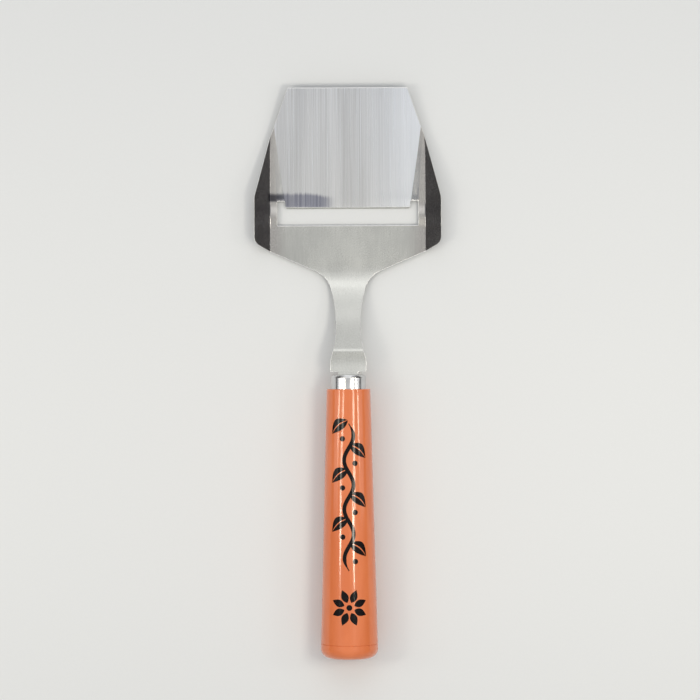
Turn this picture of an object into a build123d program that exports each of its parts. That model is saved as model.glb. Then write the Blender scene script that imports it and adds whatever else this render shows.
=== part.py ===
from build123d import *
from math import atan2, cos, degrees, radians, sin, sqrt, tan
import os

# A cheese slicer: one stamped steel blade, cranked up into a round tapered handle.
# Millimetres. +Y points to the blade's tip, +Z to the serving side, X lies across.
# The origin is the centre of the bounding box's base: the slicer lies on its cutting
# lip and on the widest ring of its handle.
# Every "from tip" size is a distance from the blade's front edge towards the handle.

# Blade: sheet and outline
sheet_thickness = 1.2
tip_width = 49.8
tip_corner_radius = 0.8
fold_width = 64.6
fold_from_tip = 20.9
fold_angle = 39.0
fold_radius = 1.0
wing_width = 8.2
wing_front_from_tip = 45.2
wing_front_radius = 8.0
wing_rear_radius = 4.0
rear_edge_from_tip = 67.7
rear_edge_angle = 23.3

# Blade: slot and cutting lip
slot_from_tip = 49.9
slot_height = 7.0
slot_corner_radius = 0.5
lip_corner_radius = 1.0
strip_width = 3.15
notch_width = 3.25
notch_depth = 3.0
lip_drop = 1.3
lip_crown = 0.25
lip_bevel = 0.45
lip_edge_thickness = 0.3
press_start_from_tip = 13.9
press_start_inset = 1.6
press_start_band = 0.6
front_rise_angle = 2.5
strip_bend_length = 8.0
strip_bend_steps = 4

# Blade: cranked neck, shoulder and tang
crank_from_tip = 73.2
crank_run = 36.6
front_bend_share = 1.28
rear_bend_radius = 6.0
neck_root_width = 17.8
neck_root_radius = 11.0
waist_width = 10.36
waist_share = 0.69
shoulder_width = 15.0
shoulder_flare_share = 0.92
shoulder_side_radius = 8.0
shoulder_length = 7.8
shoulder_corner_radius = 0.6
tang_width = 8.2
tang_length = 52.0
tang_corner_radius = 1.5
glue_hole_diameter = 3.6
glue_hole_shares = (0.45, 0.8)

# Ferrule
ferrule_gap = 0.5
ferrule_length = 6.4
ferrule_diameter = 14.4
ferrule_wall = 0.8
ferrule_nose_radius = 1.4
ferrule_crown = 0.45
tang_slot_clearance = 0.15
spigot_clearance = 0.05
spigot_gap = 0.4

# Handle
handle_length = 110.5
handle_front_diameter = 18.0
handle_butt_diameter = 23.8
handle_front_edge_radius = 0.35
handle_wall = 2.2
handle_front_wall = 3.5
socket_wall = 1.5
socket_end_wall = 2.0
rib_thickness = 1.6
cement_gap = 0.4

# End cap
cap_length = 6.0
cap_edge_radius = 4.0
cap_face_wall = 2.4
cap_plug_length = 8.0
cap_plug_wall = 1.6
cap_clearance = 0.05
cap_seam_chamfer = 0.25

# One generous overrun for every cut
overrun = 5.0

# Places along the slicer, from the tip
bend_end_from_tip = slot_from_tip + slot_height / 2
neck_start_from_tip = (rear_edge_from_tip + crank_from_tip) / 2
shoulder_start_from_tip = crank_from_tip + crank_run
shoulder_end_from_tip = shoulder_start_from_tip + shoulder_length
ferrule_from_tip = shoulder_end_from_tip + ferrule_gap
handle_from_tip = ferrule_from_tip + ferrule_length
overall_length = handle_from_tip + handle_length
tang_end_from_tip = shoulder_end_from_tip + tang_length
cap_from_tip = overall_length - cap_length
socket_end_from_tip = tang_end_from_tip + cement_gap

# Widths and heights that follow from the sizes above
slot_width = fold_width - 2 * strip_width
lip_width = slot_width - 2 * notch_width
handle_taper = (handle_butt_diameter - handle_front_diameter) / 2 / handle_length
axis_height = handle_front_diameter / 2 + handle_taper * (handle_length - cap_edge_radius)
plate_height = lip_drop + sheet_thickness / 2
crank_rise = axis_height - plate_height
front_bend_radius = front_bend_share * crank_run
handle_axis = Axis((0, 0, axis_height), (0, 1, 0))


def along(from_tip):
    """Y of a place given by its distance from the tip."""
    return overall_length / 2 - from_tip


def crank_angle():
    """Slope of the neck between its two bends, in radians, from the run and the rise."""
    radii = front_bend_radius + rear_bend_radius
    straight = sqrt(crank_run**2 + crank_rise**2 - 2 * radii * crank_rise)
    return atan2(crank_run, radii - crank_rise) - atan2(straight, radii)


def parallel(points, radii, shift):
    """The line parallel to a bent line, shifted to its left, with its bend radii."""
    moved = []
    for index, (x, y) in enumerate(points):
        turns = []
        for start, end in ((index - 1, index), (index, index + 1)):
            if start >= 0 and end < len(points):
                run = (points[end][0] - points[start][0], points[end][1] - points[start][1])
                turns.append(atan2(run[1], run[0]))
        middle = (turns[0] + turns[-1]) / 2
        reach = shift / cos((turns[-1] - turns[0]) / 2)
        moved.append((x - reach * sin(middle), y + reach * cos(middle)))
        if radii[index] > 0:
            side = 1 if turns[-1] > turns[0] else -1
            radii = radii[:index] + [radii[index] - side * shift] + radii[index + 1:]
    return moved, radii


def bent_line(points, radii, place):
    """Edges along a line of corners, each rounded to its radius; 0 leaves it sharp."""
    edges = []
    start = points[0]
    for index in range(1, len(points) - 1):
        corner = points[index]
        if radii[index] == 0:
            edges.append(Line(place(*start), place(*corner)))
            start = corner
            continue
        before = points[index - 1]
        after = points[index + 1]
        heading_in = atan2(corner[1] - before[1], corner[0] - before[0])
        heading_out = atan2(after[1] - corner[1], after[0] - corner[0])
        turn = heading_out - heading_in
        reach = radii[index] * tan(abs(turn) / 2)
        first = (corner[0] - reach * cos(heading_in), corner[1] - reach * sin(heading_in))
        last = (corner[0] + reach * cos(heading_out), corner[1] + reach * sin(heading_out))
        side = 1 if turn > 0 else -1
        centre = (first[0] - side * radii[index] * sin(heading_in),
                  first[1] + side * radii[index] * cos(heading_in))
        spoke = heading_in + turn / 2 - side * radians(90)
        middle = (centre[0] + radii[index] * cos(spoke), centre[1] + radii[index] * sin(spoke))
        edges.append(Line(place(*start), place(*first)))
        edges.append(ThreePointArc(place(*first), place(*middle), place(*last)))
        start = last
    edges.append(Line(place(*start), place(*points[-1])))
    return edges


def band(points, radii, thickness, place):
    """Closed wire of a strip of sheet seen edge on, along its bent middle line."""
    upper, upper_radii = parallel(points, list(radii), thickness / 2)
    lower, lower_radii = parallel(points, list(radii), -thickness / 2)
    edges = bent_line(upper, upper_radii, place)
    edges += bent_line(lower, lower_radii, place)
    edges.append(Line(place(*upper[0]), place(*lower[0])))
    edges.append(Line(place(*upper[-1]), place(*lower[-1])))
    return Wire(edges)


def strip_height(from_tip):
    """Height of the side strips' middle: level behind their soft bend, rising before it."""
    slope = tan(radians(front_rise_angle))
    before = max(bend_end_from_tip - from_tip, 0)
    if before < strip_bend_length:
        return plate_height + slope * before**2 / (2 * strip_bend_length)
    return plate_height + slope * (before - strip_bend_length / 2)


def middle_height(from_tip):
    """Height of the pressed middle's centre: on the ground at the lip, level with the strips in front."""
    lip_height = sheet_thickness / 2
    press_height = strip_height(press_start_from_tip)
    slope = (press_height - lip_height) / (slot_from_tip - press_start_from_tip)
    return lip_height + slope * (slot_from_tip - from_tip)


def press_share(from_tip):
    """How far the middle is pressed down: 0 up to the press's start, 1 from the lip on."""
    share = (from_tip - press_start_from_tip) / (slot_from_tip - press_start_from_tip)
    return min(max(share, 0), 1)


def plate_section(from_tip, strip, middle, crown):
    """Cross-section of the plate: wings, folds, side strips and the pressed middle, whose
    centre lies lower than its sides by the crown."""
    share = press_share(from_tip)
    inner_start = fold_width / 2 - press_start_inset
    outer_start = inner_start + press_start_band
    inner = inner_start + share * (lip_width / 2 - inner_start)
    outer = outer_start + share * (slot_width / 2 - outer_start)
    reach = wing_width + overrun
    wing_x = fold_width / 2 + reach * cos(radians(fold_angle))
    wing_z = strip + reach * sin(radians(fold_angle))
    half = [(0, middle), (inner, middle + crown), (outer, strip), (fold_width / 2, strip), (wing_x, wing_z)]
    points = [(-x, z) for x, z in reversed(half[1:])] + half
    bend = fold_radius + sheet_thickness / 2
    radii = [0, bend, 0, 0, 0, 0, 0, bend, 0]
    return band(points, radii, sheet_thickness, lambda x, z: (x, along(from_tip), z))


def plate():
    """The bent plate before its outline is cut, from beyond the tip to the crank."""
    tip_height = middle_height(-overrun)
    sections = [plate_section(-overrun, tip_height, tip_height, 0)]
    stations = [press_start_from_tip]
    for step in range(strip_bend_steps + 1):
        stations.append(bend_end_from_tip - strip_bend_length * (1 - step / strip_bend_steps))
    for station in stations:
        crown = lip_crown * press_share(station)
        sections.append(plate_section(station, strip_height(station), middle_height(station), crown))
    rear = plate_section(bend_end_from_tip, plate_height, plate_height, 0)
    front_zone = Solid.make_loft(sections, ruled=True)
    rear_zone = extrude(Face(rear), neck_start_from_tip - bend_end_from_tip, dir=(0, -1, 0))
    return front_zone + rear_zone


def neck():
    """The cranked neck, shoulder and tang as one ribbon, wider than their outline."""
    angle = crank_angle()
    first = along(crank_from_tip) - front_bend_radius * tan(angle / 2)
    second = along(shoulder_start_from_tip) + rear_bend_radius * tan(angle / 2)
    points = [(along(tang_end_from_tip), axis_height), (second, axis_height),
              (first, plate_height), (along(neck_start_from_tip), plate_height)]
    radii = [0, rear_bend_radius, front_bend_radius, 0]
    ribbon = band(points, radii, sheet_thickness, lambda y, z: (0, y, z))
    return extrude(Face(ribbon), fold_width / 2, dir=(1, 0, 0), both=True)


def rounded(sketch, corners):
    """Round the corners of a symmetric outline, given as (x, y, radius)."""
    for x, y, radius in corners:
        for side in (1, -1):
            vertex = sketch.vertices().sort_by_distance((side * x, y, 0))[0]
            sketch = Sketch() + sketch.faces()[0].fillet_2d(radius, [vertex])
    return sketch


def outline():
    """The blade's outline seen from above, down to the end of the tang."""
    wing_share = cos(radians(fold_angle))
    rear_slope = tan(radians(rear_edge_angle))
    fold_x = fold_width / 2
    wing_x = fold_x + wing_width * wing_share
    fold_y = along(fold_from_tip)
    rear_y = along(rear_edge_from_tip)
    wing_front_y = along(wing_front_from_tip)
    wing_rear_y = rear_y + (wing_x - fold_x) * rear_slope / wing_share
    root_x = neck_root_width / 2
    root_y = rear_y - (fold_x - root_x) * rear_slope
    waist = (waist_width / 2, along(crank_from_tip + waist_share * crank_run))
    shoulder_middle_y = along(shoulder_start_from_tip + shoulder_length / 2)
    flare_y = waist[1] + shoulder_flare_share * (shoulder_middle_y - waist[1])
    shoulder_x = shoulder_width / 2
    shoulder_y = along(shoulder_end_from_tip)
    tang_x = tang_width / 2
    tang_y = along(tang_end_from_tip)
    half = [
        Line((0, along(0)), (tip_width / 2, along(0))),
        Line((tip_width / 2, along(0)), (fold_x, fold_y)),
        Line((fold_x, fold_y), (wing_x, wing_front_y)),
        Line((wing_x, wing_front_y), (wing_x, wing_rear_y)),
        Line((wing_x, wing_rear_y), (fold_x, rear_y)),
        Line((fold_x, rear_y), (root_x, root_y)),
        TangentArc(waist, (root_x, root_y), tangent=(0, 1)),
        TangentArc(waist, (shoulder_x, flare_y), tangent=(0, -1)),
        Line((shoulder_x, flare_y), (shoulder_x, shoulder_y)),
        Line((shoulder_x, shoulder_y), (tang_x, shoulder_y)),
        Line((tang_x, shoulder_y), (tang_x, tang_y)),
        Line((tang_x, tang_y), (0, tang_y)),
    ]
    mirrored = [mirror(edge, about=Plane.YZ) for edge in half]
    edges = []
    for shape in half + mirrored:
        edges += shape.edges()
    sketch = Sketch() + Face(Wire(edges))
    return rounded(sketch, [
        (tip_width / 2, along(0), tip_corner_radius),
        (wing_x, wing_front_y, wing_front_radius),
        (wing_x, wing_rear_y, wing_rear_radius),
        (root_x, root_y, neck_root_radius),
        (shoulder_x, flare_y, shoulder_side_radius),
        (shoulder_x, shoulder_y, shoulder_corner_radius),
        (tang_x, tang_y, tang_corner_radius),
    ])


def slot_outline():
    """The slot seen from above: a long window with a notch at each end of the lip."""
    lip_y = along(slot_from_tip)
    rear_y = along(slot_from_tip + slot_height)
    notch_y = along(slot_from_tip - notch_depth)
    window = make_face(Polyline((-slot_width / 2, rear_y), (slot_width / 2, rear_y),
                                (slot_width / 2, notch_y), (lip_width / 2, notch_y),
                                (lip_width / 2, lip_y), (-lip_width / 2, lip_y),
                                (-lip_width / 2, notch_y), (-slot_width / 2, notch_y), close=True))
    return rounded(window, [
        (slot_width / 2, rear_y, slot_corner_radius),
        (slot_width / 2, notch_y, slot_corner_radius),
        (lip_width / 2, notch_y, slot_corner_radius),
        (lip_width / 2, lip_y, lip_corner_radius),
    ])


def lip_grind():
    """The wedge ground off the upper side of the cutting lip."""
    lip_y = along(slot_from_tip)
    slope = (sheet_thickness - lip_edge_thickness) / lip_bevel
    rise = slope * (lip_bevel + overrun)
    wedge = make_face(Polyline((0, lip_y - overrun, lip_edge_thickness - slope * overrun),
                               (0, lip_y - overrun, lip_edge_thickness + rise),
                               (0, lip_y + lip_bevel + overrun, lip_edge_thickness + rise), close=True))
    return extrude(wedge, lip_width / 2 + notch_width / 2, dir=(1, 0, 0), both=True)


def upright(sketch):
    """A flat outline carried through the whole height of the blade."""
    height = axis_height + wing_width + sheet_thickness
    return extrude(sketch, height, both=True)


def glue_holes():
    """The holes punched in the tang, which the cement grips."""
    holes = Part()
    for share in glue_hole_shares:
        place = Pos(0, along(shoulder_end_from_tip + share * tang_length), axis_height)
        holes += place * Cylinder(glue_hole_diameter / 2, sheet_thickness + overrun)
    return holes


def make_blade():
    """The whole stamping: plate, wings, lip, slot, neck, shoulder and tang."""
    sheet = plate() + neck()
    blade = sheet & upright(outline())
    blade -= upright(slot_outline())
    blade -= lip_grind()
    blade -= glue_holes()
    return blade


def turned(points):
    """A solid of revolution about the handle's axis from (from tip, radius) points."""
    profile = Polyline([(0, along(t), axis_height + r) for t, r in points], close=True)
    return revolve(make_face(profile), handle_axis)


def tang_block(clearance, start_from_tip, end_from_tip):
    """A block around the tang with the same clearance on its broad and narrow sides."""
    length = end_from_tip - start_from_tip
    block = Box(tang_width + 2 * clearance, length, sheet_thickness + 2 * clearance)
    return Pos(0, along(start_from_tip + length / 2), axis_height) * block


def make_ferrule():
    """The drawn cup with its rounded nose, bored for the spigot and slotted for the tang."""
    outer = ferrule_diameter / 2
    inner = outer - ferrule_wall
    start = ferrule_from_tip
    end = handle_from_tip
    shoulder = start + ferrule_crown
    flat = outer - ferrule_nose_radius
    turn = radians(45)
    nose_middle = (shoulder + ferrule_nose_radius * (1 - sin(turn)), flat + ferrule_nose_radius * cos(turn))
    # A shallow arc has dropped a quarter of its depth at half its reach
    crown_middle = (start + ferrule_crown / 4, flat / 2)

    def at(from_tip, radius):
        return (0, along(from_tip), axis_height + radius)

    edges = [
        Line(at(end, 0), at(start, 0)),
        ThreePointArc(at(start, 0), at(*crown_middle), at(shoulder, flat)),
        ThreePointArc(at(shoulder, flat), at(*nose_middle), at(shoulder + ferrule_nose_radius, outer)),
        Line(at(shoulder + ferrule_nose_radius, outer), at(end, outer)),
        Line(at(end, outer), at(end, 0)),
    ]
    cup = revolve(make_face(edges), handle_axis)
    cup -= turned([(start + ferrule_nose_radius, 0), (start + ferrule_nose_radius, inner),
                   (end + overrun, inner), (end + overrun, 0)])
    cup -= tang_block(tang_slot_clearance, start - overrun, end + overrun)
    return cup


def shell_radius(from_tip):
    """The handle's outer radius at a distance from the tip."""
    return handle_front_diameter / 2 + handle_taper * (from_tip - handle_from_tip)


def make_handle_shell():
    """The tapered handle: hollow from the butt, with the tang's socket and two ribs."""
    start = handle_from_tip
    end = cap_from_tip
    floor = start + handle_front_wall
    spigot_start = ferrule_from_tip + ferrule_nose_radius + spigot_gap
    spigot_radius = ferrule_diameter / 2 - ferrule_wall - spigot_clearance
    body = turned([(start, 0), (start, shell_radius(start)), (end, shell_radius(end)), (end, 0)])
    front_edge = body.edges().sort_by_distance((shell_radius(start), along(start), axis_height))[0]
    body = fillet(front_edge, handle_front_edge_radius)
    hollow = turned([(floor, 0), (floor, shell_radius(floor) - handle_wall),
                     (end + overrun, shell_radius(end + overrun) - handle_wall), (end + overrun, 0)])
    spigot = turned([(spigot_start, 0), (spigot_start, spigot_radius), (floor, spigot_radius), (floor, 0)])
    socket_end = socket_end_from_tip + socket_end_wall
    socket = tang_block(cement_gap + socket_wall, start, socket_end)
    rib = Box(rib_thickness, socket_end - floor, 2 * shell_radius(end))
    ribs = Pos(0, along((floor + socket_end) / 2), axis_height) * rib
    shell = body - hollow + ((socket + ribs) & body) + spigot
    return shell - tang_block(cement_gap, spigot_start - overrun, socket_end_from_tip)


def make_tang_cement(blade):
    """The resin that fills the socket around the tang and through its holes."""
    spigot_start = ferrule_from_tip + ferrule_nose_radius + spigot_gap
    return tang_block(cement_gap, spigot_start, socket_end_from_tip) - blade


def make_end_cap():
    """The plug that closes the butt: a rounded end face and a skirt inside the shell."""
    start = cap_from_tip
    end = overall_length
    skirt_start = start - cap_plug_length
    skirt = handle_wall + cap_clearance
    cap = turned([(start, 0), (start, shell_radius(start)), (end, shell_radius(end)), (end, 0)])
    butt_edge = cap.edges().sort_by_distance((shell_radius(end), along(end), axis_height))[0]
    cap = fillet(butt_edge, cap_edge_radius)
    cap += turned([(skirt_start, 0), (skirt_start, shell_radius(skirt_start) - skirt),
                   (start, shell_radius(start) - skirt), (start, 0)])
    cap -= turned([(skirt_start - overrun, 0),
                   (skirt_start - overrun, shell_radius(skirt_start) - skirt - cap_plug_wall),
                   (end - cap_face_wall, shell_radius(skirt_start) - skirt - cap_plug_wall),
                   (end - cap_face_wall, 0)])
    seam_edge = cap.edges().sort_by_distance((shell_radius(start), along(start), axis_height))[0]
    return chamfer(seam_edge, cap_seam_chamfer)


def save(name, shape):
    """Write one named piece to the parts folder."""
    export_step(shape, f"parts/{name}.step")


os.makedirs("parts", exist_ok=True)
blade = make_blade()
save("blade", blade)
save("ferrule", make_ferrule())
save("handle_shell", make_handle_shell())
save("tang_cement", make_tang_cement(blade))
save("end_cap", make_end_cap())
print("overall length", round(overall_length, 2))
print("neck slope", round(degrees(crank_angle()), 2))
print("handle axis height", round(axis_height, 2))
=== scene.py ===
import math

import bmesh
import bpy
import numpy as np
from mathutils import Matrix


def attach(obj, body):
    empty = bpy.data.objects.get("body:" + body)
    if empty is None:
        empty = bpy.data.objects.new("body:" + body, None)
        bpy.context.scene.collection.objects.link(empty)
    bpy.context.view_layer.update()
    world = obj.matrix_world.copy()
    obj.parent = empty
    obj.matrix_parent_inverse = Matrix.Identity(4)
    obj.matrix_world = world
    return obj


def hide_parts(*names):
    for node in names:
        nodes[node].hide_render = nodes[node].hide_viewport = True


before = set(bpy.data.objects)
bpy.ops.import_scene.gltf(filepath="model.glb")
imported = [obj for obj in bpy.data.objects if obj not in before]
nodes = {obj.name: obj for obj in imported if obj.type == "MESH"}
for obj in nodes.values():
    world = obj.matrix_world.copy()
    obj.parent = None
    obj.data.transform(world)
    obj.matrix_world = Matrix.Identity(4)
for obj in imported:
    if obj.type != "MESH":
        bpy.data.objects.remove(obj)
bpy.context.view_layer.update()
print("frame loaded:", sorted(nodes))

# Metres throughout. +Y points to the blade's tip, +Z up out of the serving side.
mm = 0.001


# Small helpers for node trees

def newMaterial(name):
    material = bpy.data.materials.new(name)
    material.use_nodes = True
    tree = material.node_tree
    tree.nodes.clear()
    output = tree.nodes.new("ShaderNodeOutputMaterial")
    shader = tree.nodes.new("ShaderNodeBsdfPrincipled")
    tree.links.new(shader.outputs["BSDF"], output.inputs["Surface"])
    return material, tree, shader


def plug(tree, value, socket):
    # A number or colour is written into the socket, and an output is linked to it
    if isinstance(value, bpy.types.NodeSocket):
        tree.links.new(value, socket)
    else:
        socket.default_value = value


def calc(tree, operation, first, second=None, third=None):
    node = tree.nodes.new("ShaderNodeMath")
    node.operation = operation
    for index, value in enumerate((first, second, third)):
        if value is not None:
            plug(tree, value, node.inputs[index])
    return node.outputs[0]


def place(tree):
    # Object coordinates, which are the frame's own metres
    return tree.nodes.new("ShaderNodeTexCoord").outputs["Object"]


def axes(tree, vector):
    # The vector's three parts, under the names X, Y and Z
    split = tree.nodes.new("ShaderNodeSeparateXYZ")
    tree.links.new(vector, split.inputs[0])
    return split.outputs


def noise(tree, coordinates, perMetre, detail=3.0, roughness=0.55, distortion=0.0):
    # perMetre is how many noise cells a metre holds along X, Y and Z
    mapping = tree.nodes.new("ShaderNodeMapping")
    mapping.inputs["Scale"].default_value = perMetre
    tree.links.new(coordinates, mapping.inputs["Vector"])
    node = tree.nodes.new("ShaderNodeTexNoise")
    node.inputs["Scale"].default_value = 1.0
    node.inputs["Detail"].default_value = detail
    node.inputs["Roughness"].default_value = roughness
    node.inputs["Distortion"].default_value = distortion
    tree.links.new(mapping.outputs[0], node.inputs["Vector"])
    return node.outputs["Fac"]


def spread(tree, value, low, high, toLow=0.0, toHigh=1.0):
    # Carries low..high of a value to toLow..toHigh and stops at the ends
    node = tree.nodes.new("ShaderNodeMapRange")
    node.interpolation_type = "SMOOTHSTEP"
    plug(tree, value, node.inputs["Value"])
    for name, number in (("From Min", low), ("From Max", high), ("To Min", toLow), ("To Max", toHigh)):
        node.inputs[name].default_value = number
    return node.outputs["Result"]


def mixColour(tree, share, first, second, blend="MIX"):
    node = tree.nodes.new("ShaderNodeMix")
    node.data_type = "RGBA"
    node.blend_type = blend
    plug(tree, share, node.inputs[0])
    for colour, socket in ((first, node.inputs[6]), (second, node.inputs[7])):
        plug(tree, colour if isinstance(colour, bpy.types.NodeSocket) else (*colour, 1), socket)
    return node.outputs[2]


def tint(tree, share, colour, times):
    # The colour is multiplied, as far as the share goes
    return mixColour(tree, share, colour, mixColour(tree, 1.0, colour, times, "MULTIPLY"))


def surface(tree, shader, colour, rough):
    tree.links.new(colour, shader.inputs["Base Color"])
    tree.links.new(rough, shader.inputs["Roughness"])


def bump(tree, shader, heights):
    # heights is a list of (height output, depth in metres), stacked from the coarsest to the finest
    normal = None
    for height, depth in heights:
        node = tree.nodes.new("ShaderNodeBump")
        node.inputs["Strength"].default_value = 1.0
        node.inputs["Distance"].default_value = depth
        tree.links.new(height, node.inputs["Height"])
        if normal is not None:
            tree.links.new(normal, node.inputs["Normal"])
        normal = node.outputs[0]
    tree.links.new(normal, shader.inputs["Normal"])
    return normal


# Blade: one satin sheet whose front plate is ground lengthwise

blade = {
    "weld": 0.002 * mm,           # corners closer than this are one
    "flatAngle": 0.08,            # degrees up to which neighbouring faces are joined as flat
    "edgeAngle": 40,              # degrees from which a corner counts as a sharp edge
    "edgeClear": 0.27 * mm,       # corners closer than this to a sharp edge are welded onto it
    "cornerClear": 0.14 * mm,     # sharp edges shorter than this are closed where several meet
    "clearTurns": 2,
    "edgeRound": 0.24 * mm,       # radius of the tumbled sheet edges
    "edgeSteps": 3,
    "lipEdgeShare": 0.2,          # how much of that rounding the lip's cutting edge keeps
    "grindEdgeShare": 0.7,        # and the edge where its grind meets the plate
    "grindTop": 0.9 * mm,
    "grindHalf": 25.2 * mm,
    "lipReach": 3.0 * mm,         # how far those shares go along the blade, and beside the plate
    "lipBeside": 0.1 * mm,
    "lipY": 67.6 * mm,
    "lipHalf": 25.9 * mm,         # half the ground plate's width at the lip
    "pressY": 103.6 * mm,         # where the pressed middle begins, and its half width there
    "pressHalf": 30.7 * mm,
    "groundBefore": 0.05 * mm,    # the ground finish begins so far before the lip's edge
    "topFacing": 0.5,             # a face whose normal rises more than this looks up
    # Satin steel, and the sheared sides of the sheet
    "satinDark": (0.495, 0.495, 0.47),
    "satinPale": (0.615, 0.615, 0.585),
    "satinRough": (0.23, 0.30),
    "foldShade": (0.76, 0.73, 0.74),    # times that beside the folds, a painted shade
    "foldFrom": 24 * mm,
    "foldTo": 32 * mm,
    "sidewaysShade": (0.67, 0.69, 0.74),    # and times that on the bends and on the pressed slopes, a painted shade on faces that lean sideways
    "shearedDark": (0.42, 0.42, 0.41),
    "shearedPale": (0.66, 0.66, 0.65),
    "neckShade": 0.86,             # times the neck's tone along here, a painted shade on the rising neck
    "neckFrom": 24.0 * mm,
    "neckFull": 18.0 * mm,
    "neckOut": 9.6 * mm,
    "neckEnd": 8.6 * mm,
    "ridgeFrom": 59.5 * mm,       # each side strip bulges here beside the slot, along Y
    "ridgeTop": 64.5 * mm,
    "ridgeTo": 69.8 * mm,
    "ridgeHeight": 0.42 * mm,
    "stripFrom": 27.0 * mm,       # across, it grows between these, outwards from the notch
    "stripIn": 29.0 * mm,
    "curlFrom": 7.0 * mm,         # the shoulder's end curls up a little between these, along Y
    "curlTo": -5.0 * mm,
    "curlHeight": 1.05 * mm,
    "waveDepth": 0.08 * mm,
    "rolledDepth": 0.0012 * mm,
    "grainDepth": 0.0009 * mm,
    # Burnished edges, paler than the faces: a burnish, partly a painted highlight
    "burnishAndHighlight": (0.90, 0.90, 0.89),
    "burnishedLow": 0.86,         # times that in the nicks
    "burnishedRough": (0.34, 0.44),
    "nickDepth": 0.002 * mm,
    # Ground plate
    "groundDark": (0.455, 0.46, 0.475),
    "groundPale": (0.70, 0.71, 0.735),
    "groundScratchAndReflection": (0.84, 0.88, 0.955),
    "groundRough": (0.36, 0.26),
    "groundStretch": 0.6,         # how much longer a highlight is across the scratches
    "rightReflectionShare": 0.55,           # how far the plate's right side goes towards the pale blue steel, a painted reflection
    "scratchShare": 0.5,          # and how far a pale scratch does
    "lipShade": 0.83,              # times the plate's tone at the lip, and that at its tip: painted shade at the lip and a painted highlight at the tip
    "tipHighlight": 1.05,
    "shadeFrom": 62 * mm,
    "highlightFrom": 118 * mm,
    "lipHighlight": (0.95, 0.95, 0.94),
    "lipHighlightWidth": 0.42 * mm,   # the painted highlight along the whetted edge
    "lipHighlightSoft": 0.2,          # it fades over this share of that width, before and behind its end
    "streakDepth": 0.0018 * mm,
    "fineDepth": 0.0009 * mm,
    "hairDepth": 0.0004 * mm,
    # Painted dark reflection, bluish, left of the lip's middle, with painted shade at its left end
    "reflectionTint": (0.25, 0.26, 0.36),       # times the steel
    "reflectionDeep": (0.05, 0.05, 0.06),   # and times that at the patch's left end
    "reflectionShare": (0.88, 0.62),  # how strong it is in the dark streaks and in the pale ones
    "reflectionFull": 74.1 * mm,      # along Y it is full up to here, and gone from there
    "reflectionGone": 75.9 * mm,
    "reflectionRagged": 2.4 * mm,     # the most that the streaks take off both
    "reflectionLeft": -33.4 * mm,     # across, from here to there
    "reflectionRight": -4.2 * mm,
    "reflectionFade": 6.8 * mm,       # it fades over this at the right
    "reflectionBend": 1.6 * mm,       # and its upper edge comes down by this there, over twice that way
    "reflectionSoft": 1.2 * mm,       # it fades over this at the left and at the lower edge
    "reflectionLow": 3.6 * mm,        # the lower edge on the satin steel lies so far beyond the lip
    "deepFrom": -24.0 * mm,       # the deeper painted shade grows between these
    "deepTo": -31.0 * mm,
}


def paintedReflection(tree, colour, x, y, ragged, low):
    # The painted dark reflection's upper edge is ragged with the grinding streaks, and it fades towards
    # the middle
    right = blade["reflectionRight"]
    left = blade["reflectionLeft"]
    fade = blade["reflectionFade"]
    soft = blade["reflectionSoft"]
    bent = calc(tree, "MULTIPLY", spread(tree, x, right - 2 * fade, right), blade["reflectionBend"])
    edge = calc(tree, "ADD", calc(tree, "MULTIPLY_ADD", ragged, blade["reflectionRagged"], y), bent)
    share = spread(tree, edge, blade["reflectionFull"], blade["reflectionGone"], 1, 0)
    share = calc(tree, "MULTIPLY", share, spread(tree, x, right - fade, right, 1, 0))
    share = calc(tree, "MULTIPLY", share, spread(tree, x, left, left + soft))
    share = calc(tree, "MULTIPLY", share, spread(tree, y, low - soft, low))
    share = calc(tree, "MULTIPLY", share, spread(tree, ragged, 0.3, 0.7, *blade["reflectionShare"]))
    colour = tint(tree, share, colour, blade["reflectionTint"])
    deep = calc(tree, "MULTIPLY", share, spread(tree, x, blade["deepTo"], blade["deepFrom"], 1, 0))
    return tint(tree, deep, colour, blade["reflectionDeep"])


def satinTone(tree, coordinates, aside, cloud, rolled, grain):
    # The satin's colour before the painted reflection and the painted neck shade: paler and darker
    # clouds, painted shade beside the folds and on faces that lean sideways, and the sheet's sheared
    # sides, which are streaked from face to face
    facing = axes(tree, tree.nodes.new("ShaderNodeNewGeometry").outputs["True Normal"])
    tone = calc(tree, "MULTIPLY_ADD", cloud, 0.5, calc(tree, "MULTIPLY", rolled, 0.25))
    tone = calc(tree, "MULTIPLY_ADD", grain, 0.25, tone)
    colour = mixColour(tree, spread(tree, tone, 0.32, 0.68), blade["satinDark"], blade["satinPale"])
    # Painted shade beside the folds, and on faces that lean sideways
    foldShadeShare = spread(tree, aside, blade["foldFrom"], blade["foldTo"])
    colour = tint(tree, foldShadeShare, colour, blade["foldShade"])
    lean = calc(tree, "ABSOLUTE", facing["X"])
    bent = calc(tree, "MULTIPLY", spread(tree, lean, 0.1, 0.3), spread(tree, lean, 0.6, 0.8, 1, 0))
    colour = tint(tree, bent, colour, blade["sidewaysShade"])
    torn = noise(tree, coordinates, (3500, 3500, 200))
    sheared = mixColour(tree, torn, blade["shearedDark"], blade["shearedPale"])
    upright = spread(tree, calc(tree, "ABSOLUTE", facing["Z"]), 0.25, 0.1)
    return mixColour(tree, upright, colour, sheared)


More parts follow.
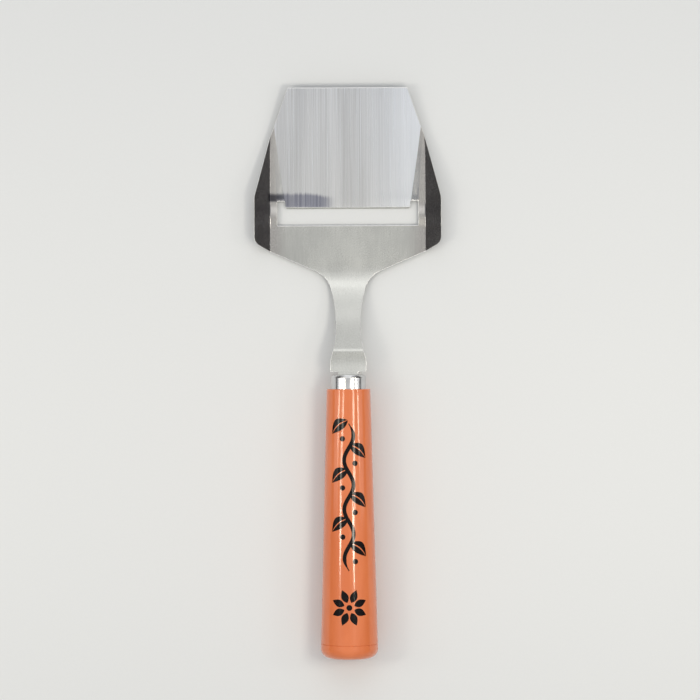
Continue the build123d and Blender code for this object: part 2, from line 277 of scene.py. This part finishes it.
def satinSteel():
    material, tree, shader = newMaterial("satin_steel")
    coordinates = place(tree)
    parts = axes(tree, coordinates)
    y = parts["Y"]
    aside = calc(tree, "ABSOLUTE", parts["X"])
    cloud = noise(tree, coordinates, (45, 30, 45), detail=3)
    rolled = noise(tree, coordinates, (3400, 110, 3400), detail=2)
    grain = noise(tree, coordinates, (7000, 7000, 7000), detail=2)
    colour = satinTone(tree, coordinates, aside, cloud, rolled, grain)
    # Painted dark reflection left of the lip's middle
    colour = paintedReflection(tree, colour, parts["X"], y, cloud, blade["lipY"] + blade["reflectionLow"])
    # Painted shade along the rising neck
    neckShadeShare = calc(tree, "MULTIPLY", spread(tree, y, blade["neckFull"], blade["neckFrom"], 1, 0),
                  spread(tree, y, blade["neckEnd"], blade["neckOut"]))
    neckShadeTone = calc(tree, "MULTIPLY_ADD", neckShadeShare, blade["neckShade"] - 1, 1.0)
    colour = mixColour(tree, 1.0, colour, neckShadeTone, "MULTIPLY")
    sheen = calc(tree, "ADD", calc(tree, "MULTIPLY", cloud, 0.6), calc(tree, "MULTIPLY", grain, 0.4))
    surface(tree, shader, colour, spread(tree, sheen, 0.35, 0.65, *blade["satinRough"]))
    shader.inputs["Metallic"].default_value = 1.0
    rise = spread(tree, y, blade["ridgeFrom"], blade["ridgeTop"])
    fall = spread(tree, y, blade["ridgeTop"], blade["ridgeTo"], 1, 0)
    onStrip = spread(tree, aside, blade["stripFrom"], blade["stripIn"])
    ridge = calc(tree, "MULTIPLY", calc(tree, "MULTIPLY", rise, fall), onStrip)
    wave = noise(tree, coordinates, (25, 40, 25), detail=1)
    curl = spread(tree, y, blade["curlTo"], blade["curlFrom"], 1, 0)
    bump(tree, shader, [(wave, blade["waveDepth"]), (ridge, blade["ridgeHeight"]),
                        (curl, blade["curlHeight"]), (rolled, blade["rolledDepth"]),
                        (grain, blade["grainDepth"])])
    return material


def burnishAndHighlightSteel():
    # The tumbled edges, brighter than the faces: a burnish, partly a painted highlight
    material, tree, shader = newMaterial("burnished_edges_and_highlight")
    nicks = noise(tree, place(tree), (1800, 1800, 1800), detail=3)
    pale = blade["burnishAndHighlight"]
    dark = tuple(blade["burnishedLow"] * channel for channel in pale)
    colour = mixColour(tree, spread(tree, nicks, 0.35, 0.65), dark, pale)
    surface(tree, shader, colour, spread(tree, nicks, 0.3, 0.7, *blade["burnishedRough"]))
    shader.inputs["Metallic"].default_value = 1.0
    bump(tree, shader, [(nicks, blade["nickDepth"])])
    return material


def groundSteel():
    material, tree, shader = newMaterial("ground_steel")
    coordinates = place(tree)
    parts = axes(tree, coordinates)
    x = parts["X"]
    y = parts["Y"]
    broad = noise(tree, coordinates, (140, 5, 5), detail=2)
    streak = noise(tree, coordinates, (1500, 10, 10), detail=3, roughness=0.6)
    fine = noise(tree, coordinates, (4600, 24, 24), detail=3, roughness=0.65)
    hair = noise(tree, coordinates, (11000, 60, 60), detail=1)
    tone = calc(tree, "MULTIPLY_ADD", broad, 0.3, calc(tree, "MULTIPLY", streak, 0.35))
    tone = calc(tree, "MULTIPLY_ADD", fine, 0.35, tone)
    colour = mixColour(tree, spread(tree, tone, 0.36, 0.64), blade["groundDark"], blade["groundPale"])
    scratch = noise(tree, coordinates, (2300, 14, 14), detail=1)
    colour = mixColour(tree, spread(tree, scratch, 0.66, 0.74, 0, blade["scratchShare"]),
                       colour, blade["groundScratchAndReflection"])
    # Painted reflection: paler and bluer towards the plate's right side
    paintedRightReflection = spread(tree, x, 0, blade["pressHalf"], 0, blade["rightReflectionShare"])
    colour = mixColour(tree, paintedRightReflection, colour, blade["groundScratchAndReflection"])
    # Painted shade towards the lip and painted highlight towards the tip
    along = spread(tree, y, blade["shadeFrom"], blade["highlightFrom"], blade["lipShade"], blade["tipHighlight"])
    colour = mixColour(tree, 1.0, colour, along, "MULTIPLY")
    # Painted dark reflection left of the lip's middle
    colour = paintedReflection(tree, colour, x, y, streak, blade["lipY"])
    # Painted highlight along the lip's edge
    full = blade["lipY"] + (1 - blade["lipHighlightSoft"]) * blade["lipHighlightWidth"]
    gone = blade["lipY"] + (1 + blade["lipHighlightSoft"]) * blade["lipHighlightWidth"]
    lipHighlightShare = spread(tree, y, full, gone, 1, 0)
    colour = mixColour(tree, lipHighlightShare, colour, blade["lipHighlight"])
    sheen = calc(tree, "MULTIPLY_ADD", fine, 0.6, calc(tree, "MULTIPLY", streak, 0.4))
    surface(tree, shader, colour, spread(tree, sheen, 0.35, 0.65, *blade["groundRough"]))
    shader.inputs["Metallic"].default_value = 1.0
    shader.inputs["Anisotropic"].default_value = blade["groundStretch"]
    # The scratches run along Y, so light spreads along X
    across = tree.nodes.new("ShaderNodeCombineXYZ")
    across.inputs["X"].default_value = 1.0
    tree.links.new(across.outputs[0], shader.inputs["Tangent"])
    bump(tree, shader, [(streak, blade["streakDepth"]), (fine, blade["fineDepth"]),
                        (hair, blade["hairDepth"])])
    return material


def isSharp(edge):
    return len(edge.link_faces) == 2 and edge.calc_face_angle() > math.radians(blade["edgeAngle"])


def clearEdges(work):
    # Corners closer to a sharp edge than its rounding reaches are welded onto that edge, and the
    # shortest edges where several sharp ones meet are closed, so the rounding has room everywhere
    onEdge = [vert for vert in work.verts if any(isSharp(edge) for edge in vert.link_edges)]
    places = np.array([vert.co[:] for vert in onEdge])
    known = set(onEdge)
    targets = {}
    for vert in work.verts:
        if vert in known:
            continue
        gaps = np.linalg.norm(places - np.array(vert.co[:]), axis=1)
        if gaps.min() < blade["edgeClear"]:
            targets[vert] = onEdge[int(gaps.argmin())]
    bmesh.ops.weld_verts(work, targetmap=targets)
    crowded = {}
    for edge in work.edges:
        if not isSharp(edge) or edge.calc_length() > blade["cornerClear"]:
            continue
        meeting = [sum(isSharp(other) for other in vert.link_edges) for vert in edge.verts]
        if max(meeting) > 2:
            keep, drop = edge.verts if meeting[0] > meeting[1] else reversed(edge.verts)
            if keep not in crowded and drop not in crowded:
                crowded[drop] = keep
    closing = {drop: keep for drop, keep in crowded.items() if keep not in crowded}
    bmesh.ops.weld_verts(work, targetmap=closing)
    bmesh.ops.dissolve_degenerate(work, edges=work.edges, dist=blade["weld"])
    print("edges cleared:", len(targets), "corners and", len(closing), "short edges")


def chooseFinish(work):
    # The upper side beyond the lip is ground, between two lines that part towards the tip
    taper = (blade["pressHalf"] - blade["lipHalf"]) / (blade["pressY"] - blade["lipY"])
    for face in work.faces:
        centre = face.calc_center_median()
        reach = blade["lipHalf"] + taper * (centre.y - blade["lipY"])
        beyondLip = centre.y > blade["lipY"] - blade["groundBefore"]
        onTop = face.normal.z > blade["topFacing"]
        face.material_index = int(onTop and beyondLip and abs(centre.x) < reach)
        face.smooth = True


def weighEdges(work):
    # Sharp edges get the full rounding, and those of the lip a share of it
    weight = work.edges.layers.float.new("bevel_weight_edge")
    for edge in work.edges:
        if not isSharp(edge):
            continue
        middle = (edge.verts[0].co + edge.verts[1].co) / 2
        nearLip = (abs(middle.x) < blade["lipHalf"] + blade["lipBeside"]
                   and abs(middle.y - blade["lipY"]) < blade["lipReach"])
        onGrind = middle.z > blade["grindTop"] and abs(middle.x) < blade["grindHalf"]
        atLip = blade["grindEdgeShare"] if onGrind else blade["lipEdgeShare"]
        edge[weight] = atLip if nearLip else 1.0


def dressBlade():
    # The sheet's own solid, welded, with its flat faces joined, and every sheared edge rounded
    mesh = nodes["blade"].data.copy()
    mesh.name = "blade_sheet"
    sheet = bpy.data.objects.new("blade_sheet", mesh)
    bpy.context.scene.collection.objects.link(sheet)
    mesh.materials.clear()
    for material in (satinSteel(), groundSteel(), burnishAndHighlightSteel()):
        mesh.materials.append(material)
    work = bmesh.new()
    work.from_mesh(mesh)
    bmesh.ops.remove_doubles(work, verts=work.verts, dist=blade["weld"])
    bmesh.ops.dissolve_degenerate(work, edges=work.edges, dist=blade["weld"])
    bmesh.ops.dissolve_limit(work, angle_limit=math.radians(blade["flatAngle"]),
                             verts=work.verts, edges=work.edges)
    for turn in range(blade["clearTurns"]):
        clearEdges(work)
    chooseFinish(work)
    weighEdges(work)
    work.to_mesh(mesh)
    work.free()
    rounding = sheet.modifiers.new("rounded edges", "BEVEL")
    rounding.limit_method = "WEIGHT"
    rounding.width = blade["edgeRound"]
    rounding.segments = blade["edgeSteps"]
    rounding.use_clamp_overlap = False
    rounding.material = len(mesh.materials) - 1   # the burnished steel, partly a painted highlight
    normals = sheet.modifiers.new("even normals", "WEIGHTED_NORMAL")
    normals.keep_sharp = False
    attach(sheet, "root")
    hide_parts("blade")
    print("blade dressed:", len(mesh.polygons), "faces before rounding")


# Ferrule: drawn and chromed

ferrule = {
    "chrome": (0.68, 0.68, 0.685),
    "chromeDull": (0.6, 0.6, 0.605),
    "roughness": (0.17, 0.25),
    "drawnDepth": 0.001 * mm,
}


def chrome():
    material, tree, shader = newMaterial("chromed_ferrule")
    coordinates = place(tree)
    film = noise(tree, coordinates, (220, 220, 220), detail=4)
    drawn = noise(tree, coordinates, (2200, 60, 2200), detail=2)
    colour = mixColour(tree, spread(tree, film, 0.35, 0.65), ferrule["chromeDull"], ferrule["chrome"])
    sheen = calc(tree, "MULTIPLY_ADD", film, 0.5, calc(tree, "MULTIPLY", drawn, 0.5))
    surface(tree, shader, colour, spread(tree, sheen, 0.35, 0.65, *ferrule["roughness"]))
    shader.inputs["Metallic"].default_value = 1.0
    bump(tree, shader, [(drawn, ferrule["drawnDepth"])])
    return material


# Handle: glossy orange moulding with a printed ornament in black

handle = {
    "frontY": -7.0 * mm,
    "length": 110.5 * mm,
    "frontRadius": 9.0 * mm,
    "buttRadius": 11.9 * mm,
    "axisZ": 11.79 * mm,
    "orange": (0.765, 0.207, 0.073),
    "orangeDeep": (0.71, 0.178, 0.058),
    "rubbedRough": (0.30, 0.42),
    "coatRough": 0.1,
    "rippleDepth": 0.003 * mm,    # the moulded surface's ripples, which the ink follows too
    "speckDepth": 0.0002 * mm,
}

ornament = {
    "lift": 0.025 * mm,           # the ink stands this much proud of the plastic
    "sink": 0.03 * mm,
    "weld": 0.004 * mm,           # corners closer than this are one
    "edgeAngle": 40,              # degrees from which a corner counts as a sharp edge
    "ink": (0.004, 0.003, 0.003),
    "inkWorn": (0.009, 0.007, 0.006),
    "inkRough": (0.30, 0.42),
    "stemFrom": 14.0 * mm,        # distances behind the handle's front face
    "stemTo": 74.0 * mm,
    "stemWaves": 3,
    "stemSway": 1.9 * mm,
    "stemWidth": 1.6 * mm,
    "stemTaper": 14,              # how many times shorter than the stem its tapered ends are
    "stemEnd": 0.25,              # and the share of its width that is left there
    "stemSteps": 181,
    "leafLength": 9.0 * mm,
    "leafHalfWidth": 2.5 * mm,
    "leafVein": 0.45 * mm,
    "veinTip": 0.06 * mm,         # the vein's width at the leaf's two ends, which keeps its halves apart
    "leafLean": 52,               # degrees between a leaf and the stem
    "leafSway": 0.1,              # how far its vein bends, as a share of its length
    "leafAside": 0.2,             # its root is off the middle by this share of the stem's sway
    "leafBefore": 0.32,           # and ahead of the crest by this share of a wave
    "leafSteps": 19,              # places along half a leaf or a petal
    "widest": 0.85,               # below 1, leaves and petals are widest before their middle
    "berryRadius": 1.1 * mm,
    "berryAside": 2.6 * mm,
    "berryBehind": 1.2 * mm,
    "starAt": 89.0 * mm,
    "starPetals": 8,
    "petalLength": 5.6 * mm,
    "petalHalfWidth": 1.5 * mm,
    "petalInner": 2.2 * mm,
    "starHeart": 1.2 * mm,
    "halfSteps": 5,               # places across the stem and across half a leaf
    "wholeSteps": 9,              # and across a whole petal and a dot
}


def orangePlastic():
    material, tree, shader = newMaterial("orange_plastic")
    coordinates = place(tree)
    swirl = noise(tree, coordinates, (90, 30, 90), detail=3, distortion=0.6)
    speck = noise(tree, coordinates, (2600, 2600, 2600), detail=2)
    ripple = noise(tree, coordinates, (260, 45, 260), detail=2)
    rub = noise(tree, coordinates, (700, 500, 700), detail=5, roughness=0.7)
    tone = calc(tree, "MULTIPLY_ADD", swirl, 0.8, calc(tree, "MULTIPLY", speck, 0.2))
    colour = mixColour(tree, spread(tree, tone, 0.35, 0.65), handle["orangeDeep"], handle["orange"])
    surface(tree, shader, colour, spread(tree, rub, 0.4, 0.75, *handle["rubbedRough"]))
    shader.inputs["IOR"].default_value = 1.5
    shader.inputs["Specular IOR Level"].default_value = 0.1
    shader.inputs["Coat Weight"].default_value = 0.9
    shader.inputs["Coat Roughness"].default_value = handle["coatRough"]
    normal = bump(tree, shader, [(ripple, handle["rippleDepth"]), (speck, handle["speckDepth"])])
    tree.links.new(normal, shader.inputs["Coat Normal"])
    return material


def blackInk():
    material, tree, shader = newMaterial("black_ink")
    coordinates = place(tree)
    mottle = noise(tree, coordinates, (1500, 1500, 1500), detail=3)
    ripple = noise(tree, coordinates, (260, 45, 260), detail=2)
    colour = mixColour(tree, spread(tree, mottle, 0.4, 0.7), ornament["ink"], ornament["inkWorn"])
    surface(tree, shader, colour, spread(tree, mottle, 0.35, 0.65, *ornament["inkRough"]))
    shader.inputs["Specular IOR Level"].default_value = 0.0
    shader.inputs["Coat Weight"].default_value = 0.35
    shader.inputs["Coat Roughness"].default_value = handle["coatRough"]
    normal = bump(tree, shader, [(ripple, handle["rippleDepth"])])
    tree.links.new(normal, shader.inputs["Coat Normal"])
    return material


def onHandle(across, behind, lift):
    # A point `across` the handle's top along its girth and `behind` its front face: the cone's radius
    # there turns the distance across into an angle, and the lift is added to the radius
    taper = (handle["buttRadius"] - handle["frontRadius"]) / handle["length"]
    radius = handle["frontRadius"] + taper * behind
    angle = across / radius
    x = (radius + lift) * np.sin(angle)
    z = handle["axisZ"] + (radius + lift) * np.cos(angle)
    return np.stack([x, handle["frontY"] - behind, z], axis=-1)


def inkPatch(across, behind):
    # A closed thin patch over a grid of places: its top stands proud, its underside is sunk in the
    # plastic, and its rim joins the two
    rows, columns = across.shape
    top = onHandle(across, behind, ornament["lift"]).reshape(-1, 3)
    under = onHandle(across, behind, -ornament["sink"]).reshape(-1, 3)
    index = np.arange(rows * columns).reshape(rows, columns)
    corners = [index[:-1, :-1], index[1:, :-1], index[1:, 1:], index[:-1, 1:]]
    quads = np.stack(corners, axis=-1).reshape(-1, 4)
    rim = np.concatenate([index[0, :], index[1:, -1], index[-1, -2::-1], index[-2::-1, 0]])
    below = rim + rows * columns
    wall = np.stack([rim[:-1], rim[1:], below[1:], below[:-1]], axis=-1)
    faces = np.concatenate([quads, quads[:, ::-1] + rows * columns, wall])
    return np.concatenate([top, under]), faces


def stemPatch():
    # The stem's middle line sways as a sine, and its width tapers to its two ends
    along = np.linspace(0, 1, ornament["stemSteps"])[:, None]
    side = np.linspace(-1, 1, ornament["halfSteps"])[None, :]
    behind = ornament["stemFrom"] + along * (ornament["stemTo"] - ornament["stemFrom"])
    phase = 2 * np.pi * ornament["stemWaves"] * along
    middle = ornament["stemSway"] * np.sin(phase)
    slope = np.gradient(middle[:, 0], behind[:, 0])[:, None]
    fromEnd = np.minimum(along, 1 - along) * ornament["stemTaper"]
    half = ornament["stemWidth"] / 2 * np.clip(fromEnd, ornament["stemEnd"], 1)
    turn = np.arctan(slope)
    return inkPatch(middle + side * half * np.cos(turn), behind - side * half * np.sin(turn))


def turnedPatch(rootAcross, rootBehind, heading, run, offset):
    # A patch whose places lie `run` away from its root along the heading, and `offset` beside that
    across = rootAcross + run * np.sin(heading) + offset * np.cos(heading)
    behind = rootBehind + run * np.cos(heading) - offset * np.sin(heading)
    return inkPatch(across, behind)


def leafPatch(rootAcross, rootBehind, heading, side, turn):
    # Half a leaf beside its vein: its outer edge bulges as a sine of the way along it and meets the
    # vein's edge at both ends, and the vein bends as a sine too, to the side that turn gives
    along = np.linspace(0, 1, ornament["leafSteps"])[:, None]
    out = np.linspace(0, 1, ornament["halfSteps"])[None, :]
    bulge = np.sin(np.pi * along**ornament["widest"])
    bend = turn * ornament["leafSway"] * ornament["leafLength"] * np.sin(np.pi * along)
    vein = np.maximum(ornament["leafVein"] * bulge**0.5, ornament["veinTip"]) / 2
    leaf = ornament["leafHalfWidth"] - ornament["leafVein"] / 2
    offset = bend + side * (vein + out * leaf * bulge)
    run = along * ornament["leafLength"] + 0 * out
    return turnedPatch(rootAcross, rootBehind, heading, run, offset)


def petalPatch(rootAcross, rootBehind, heading):
    # A whole petal, whose half width is a sine of the way along it
    along = np.linspace(0, 1, ornament["leafSteps"])[:, None]
    out = np.linspace(-1, 1, ornament["wholeSteps"])[None, :]
    offset = out * ornament["petalHalfWidth"] * np.sin(np.pi * along**ornament["widest"])
    run = along * ornament["petalLength"] + 0 * out
    return turnedPatch(rootAcross, rootBehind, heading, run, offset)


def dotPatch(atAcross, atBehind, radius):
    # A disc as a square grid pressed round: each place keeps its larger coordinate as its radius
    steps = np.linspace(-1, 1, ornament["wholeSteps"])
    a, b = np.meshgrid(steps, steps, indexing="ij")
    across = atAcross + radius * a * np.sqrt(1 - b**2 / 2)
    behind = atBehind + radius * b * np.sqrt(1 - a**2 / 2)
    return inkPatch(across, behind)


def vinePatches():
    # At each crest of the stem a leaf of two halves and a berry grow, by turns to the one side and
    # to the other
    patches = [stemPatch()]
    waveLength = (ornament["stemTo"] - ornament["stemFrom"]) / ornament["stemWaves"]
    for count in range(2 * ornament["stemWaves"]):
        side = -1 if count % 2 == 0 else 1
        crest = ornament["stemFrom"] + (count + 0.5) * waveLength / 2
        rootAcross = side * ornament["leafAside"] * ornament["stemSway"]
        rootBehind = crest - ornament["leafBefore"] * waveLength
        heading = side * math.radians(ornament["leafLean"])
        for half in (-1, 1):
            patches.append(leafPatch(rootAcross, rootBehind, heading, half, side))
        patches.append(dotPatch(side * ornament["berryAside"], crest + ornament["berryBehind"],
                                ornament["berryRadius"]))
    return patches


def starPatches():
    patches = [dotPatch(0, ornament["starAt"], ornament["starHeart"])]
    for count in range(ornament["starPetals"]):
        heading = 2 * math.pi * (count + 0.5) / ornament["starPetals"]
        rootAcross = ornament["petalInner"] * math.sin(heading)
        rootBehind = ornament["starAt"] + ornament["petalInner"] * math.cos(heading)
        patches.append(petalPatch(rootAcross, rootBehind, heading))
    return patches


def printOrnament():
    points = []
    faces = []
    start = 0
    for patchPoints, patchFaces in vinePatches() + starPatches():
        points.append(patchPoints)
        faces.append(patchFaces + start)
        start += len(patchPoints)
    mesh = bpy.data.meshes.new("printed_ornament")
    mesh.from_pydata(np.concatenate(points), [], np.concatenate(faces))
    work = bmesh.new()
    work.from_mesh(mesh)
    bmesh.ops.remove_doubles(work, verts=work.verts, dist=ornament["weld"])
    bmesh.ops.recalc_face_normals(work, faces=work.faces)
    work.to_mesh(mesh)
    work.free()
    mesh.polygons.foreach_set("use_smooth", np.ones(len(mesh.polygons), bool))
    mesh.set_sharp_from_angle(angle=math.radians(ornament["edgeAngle"]))
    mesh.materials.append(blackInk())
    ink = bpy.data.objects.new("printed_ornament", mesh)
    bpy.context.scene.collection.objects.link(ink)
    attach(ink, "root")
    print("ornament printed:", len(mesh.polygons), "faces")


# Cement: amber resin, hidden inside the handle

cement = {
    "amber": (0.42, 0.29, 0.12),
    "amberPale": (0.62, 0.49, 0.27),
    "roughness": (0.35, 0.55),
    "cloudDepth": 0.05 * mm,
}


def resin():
    material, tree, shader = newMaterial("cured_resin")
    cloud = noise(tree, place(tree), (300, 300, 300), detail=4)
    colour = mixColour(tree, spread(tree, cloud, 0.35, 0.65), cement["amber"], cement["amberPale"])
    surface(tree, shader, colour, spread(tree, cloud, 0.3, 0.7, *cement["roughness"]))
    bump(tree, shader, [(cloud, cement["cloudDepth"])])
    return material


def finish(name, material):
    mesh = nodes[name].data
    mesh.materials.clear()
    mesh.materials.append(material)
    print("finished:", name)


dressBlade()
finish("ferrule", chrome())
plastic = orangePlastic()
finish("handle_shell", plastic)
finish("end_cap", plastic)
finish("tang_cement", resin())
printOrnament()


# Studio: a pale floor, a surround that darkens to the horizon but glows beyond the tip and the butt,
# soft boxes and strips, and a dark card on each side of the blade

studio = {
    "floorColour": (0.75, 0.76, 0.77),
    "floorGrain": 0.02,           # how much paler the floor's paper is in places
    "floorRough": 0.8,
    "floorHalf": 12.0,
    "floorDrop": 0.1 * mm,
    "surround": (0.985, 0.995, 1.0),
    "zenith": 0.68,               # the surround's brightness overhead and at the horizon
    "horizon": 0.1,
    "zenithBand": (0.2, 0.9),     # it grows between these heights of the direction looked in
    "endGlow": 0.5,               # added low down beyond the tip and the butt
    "endHeights": (0.3, 0.6),     # it is full below the first height and gone above the second
    "endReach": (0.2, 0.8),       # and grows as the direction turns to an end, between these parts of it
    "boxDistance": 0.9,
    "boxLength": 0.6,
    # Each box's angle from overhead, the angle it covers and its glow
    "boxes": ((31, 32, 0.5), (23, 7, 0.9), (62, 26, 0.6), (82, 12, 1.6)),
    "stripHeight": 0.4,
    "stripColour": (1.0, 0.95, 0.82),
    # Each lamp over the handle: its two ends of (x, y), its width and its glow
    "strips": (
        ((-0.166, 0.013), (-0.350, -0.060), 0.026, 13.5),
        ((-0.313, -0.060), (-0.302, -0.089), 0.070, 28.0),
        ((0.176, 0.013), (0.198, -0.059), 0.070, 14.5),
        ((0.145, -0.060), (0.127, -0.087), 0.060, 34.0),
        ((-0.385, 0.015), (-0.585, -0.018), 0.022, 16.0),
        ((0.405, 0.015), (0.525, -0.019), 0.036, 17.0),
    ),
    "sideAngle": 64,              # degrees from overhead to the small box on each side of the ferrule
    "sideY": -0.02,
    "sideSize": (0.36, 0.10),
    "sideGlow": 1.4,
    "cardColour": (0.12, 0.11, 0.11),
    "cardRough": 0.9,
    "cardX": 0.20,
    "cardFrom": 0.02,             # the cards stand beside the blade, from here to here along Y
    "cardTo": 0.24,
    "cardHeight": 0.16,
}

camera = {
    "distance": 1.2,
    "lens": 148.7,
    "sensor": 36,
    "clipEnd": 20,
    "targetX": 0.7 * mm,
    "targetY": 9.0 * mm,
    "roll": -0.24,                # degrees
}


def glowPanel(name, glow, width, length, where, turn, colour=(1.0, 1.0, 1.0)):
    # A rectangular lamp whose power gives its face the stated brightness
    lamp = bpy.data.lights.new(name, "AREA")
    lamp.shape = "RECTANGLE"
    lamp.color = colour
    lamp.size = width
    lamp.size_y = length
    lamp.energy = glow * math.pi * width * length
    holder = bpy.data.objects.new(name, lamp)
    holder.location = where
    holder.rotation_euler = turn
    holder.visible_camera = False
    bpy.context.scene.collection.objects.link(holder)


def softBox(name, angle, span, glow):
    # A box beyond the tip, which faces the object and lights the rising neck
    tilt = math.radians(angle)
    reach = 2 * studio["boxDistance"] * math.tan(math.radians(span / 2))
    where = (0, studio["boxDistance"] * math.sin(tilt), studio["boxDistance"] * math.cos(tilt))
    glowPanel(name, glow, studio["boxLength"], reach, where, (-tilt, 0, 0))


def strip(name, start, end, width, glow):
    # A thin lamp between two places of (x, y) at the strips' height, which faces down
    middle = ((start[0] + end[0]) / 2, (start[1] + end[1]) / 2)
    length = math.hypot(end[0] - start[0], end[1] - start[1])
    heading = math.atan2(end[0] - start[0], start[1] - end[1])
    where = (*middle, studio["stripHeight"])
    glowPanel(name, glow, width, length, where, (0, 0, heading), studio["stripColour"])


def sideBox(name, side):
    tilt = math.radians(studio["sideAngle"])
    where = (side * studio["boxDistance"] * math.sin(tilt), studio["sideY"],
             studio["boxDistance"] * math.cos(tilt))
    glowPanel(name, studio["sideGlow"], *studio["sideSize"], where, (0, side * tilt, 0))


def stageMesh(name, points, material):
    mesh = bpy.data.meshes.new(name)
    mesh.from_pydata(points, [], [(0, 1, 2, 3)])
    mesh.materials.append(material)
    sheet = bpy.data.objects.new(name, mesh)
    bpy.context.scene.collection.objects.link(sheet)
    return sheet


def floorMaterial():
    material, tree, shader = newMaterial("pale_floor")
    paper = noise(tree, place(tree), (900, 900, 900), detail=3)
    tone = studio["floorColour"]
    paler = tuple(channel + studio["floorGrain"] for channel in tone)
    tree.links.new(mixColour(tree, paper, tone, paler), shader.inputs["Base Color"])
    shader.inputs["Roughness"].default_value = studio["floorRough"]
    return material


def darkCard():
    material, _, shader = newMaterial("dark_card")
    shader.inputs["Base Color"].default_value = (*studio["cardColour"], 1)
    shader.inputs["Roughness"].default_value = studio["cardRough"]
    return material


def surround():
    # Brightness follows the height of the direction looked in, and low down it also grows towards
    # both ends of the slicer
    world = bpy.data.worlds.new("surround")
    world.use_nodes = True
    tree = world.node_tree
    background = tree.nodes["Background"]
    background.inputs["Color"].default_value = (*studio["surround"], 1)
    direction = axes(tree, tree.nodes.new("ShaderNodeTexCoord").outputs["Generated"])
    glow = spread(tree, direction["Z"], *studio["zenithBand"], studio["horizon"], studio["zenith"])
    lowDown = spread(tree, direction["Z"], *studio["endHeights"], studio["endGlow"], 0)
    ends = spread(tree, calc(tree, "ABSOLUTE", direction["Y"]), *studio["endReach"])
    tree.links.new(calc(tree, "MULTIPLY_ADD", lowDown, ends, glow), background.inputs["Strength"])
    return world


def standCard(name, x, material):
    # Seen only in reflections
    near = studio["cardFrom"]
    far = studio["cardTo"]
    top = studio["cardHeight"]
    sheet = stageMesh(name, [(x, near, 0), (x, far, 0), (x, far, top), (x, near, top)], material)
    sheet.visible_camera = False
    sheet.visible_diffuse = False
    sheet.visible_shadow = False


def placeCamera():
    lens = bpy.data.cameras.new("camera")
    lens.sensor_width = camera["sensor"]
    lens.lens = camera["lens"]
    lens.clip_end = camera["clipEnd"]
    view = bpy.data.objects.new("camera", lens)
    view.location = (camera["targetX"], camera["targetY"], camera["distance"])
    view.rotation_euler = (0, 0, math.radians(camera["roll"]))
    bpy.context.scene.collection.objects.link(view)
    bpy.context.scene.camera = view


def buildStudio():
    half = studio["floorHalf"]
    low = -studio["floorDrop"]
    stageMesh("floor", [(-half, -half, low), (half, -half, low), (half, half, low), (-half, half, low)],
              floorMaterial())
    card = darkCard()
    for label, side in (("left", -1), ("right", 1)):
        standCard(f"card_{label}", side * studio["cardX"], card)
        sideBox(f"side_{label}", side)
    for number, (angle, span, glow) in enumerate(studio["boxes"]):
        softBox(f"box_{number}", angle, span, glow)
    for number, (start, end, width, glow) in enumerate(studio["strips"]):
        strip(f"strip_{number}", start, end, width, glow)
    bpy.context.scene.world = surround()
    placeCamera()
    bpy.context.scene.view_settings.view_transform = "Standard"
    print("studio ready")


buildStudio()
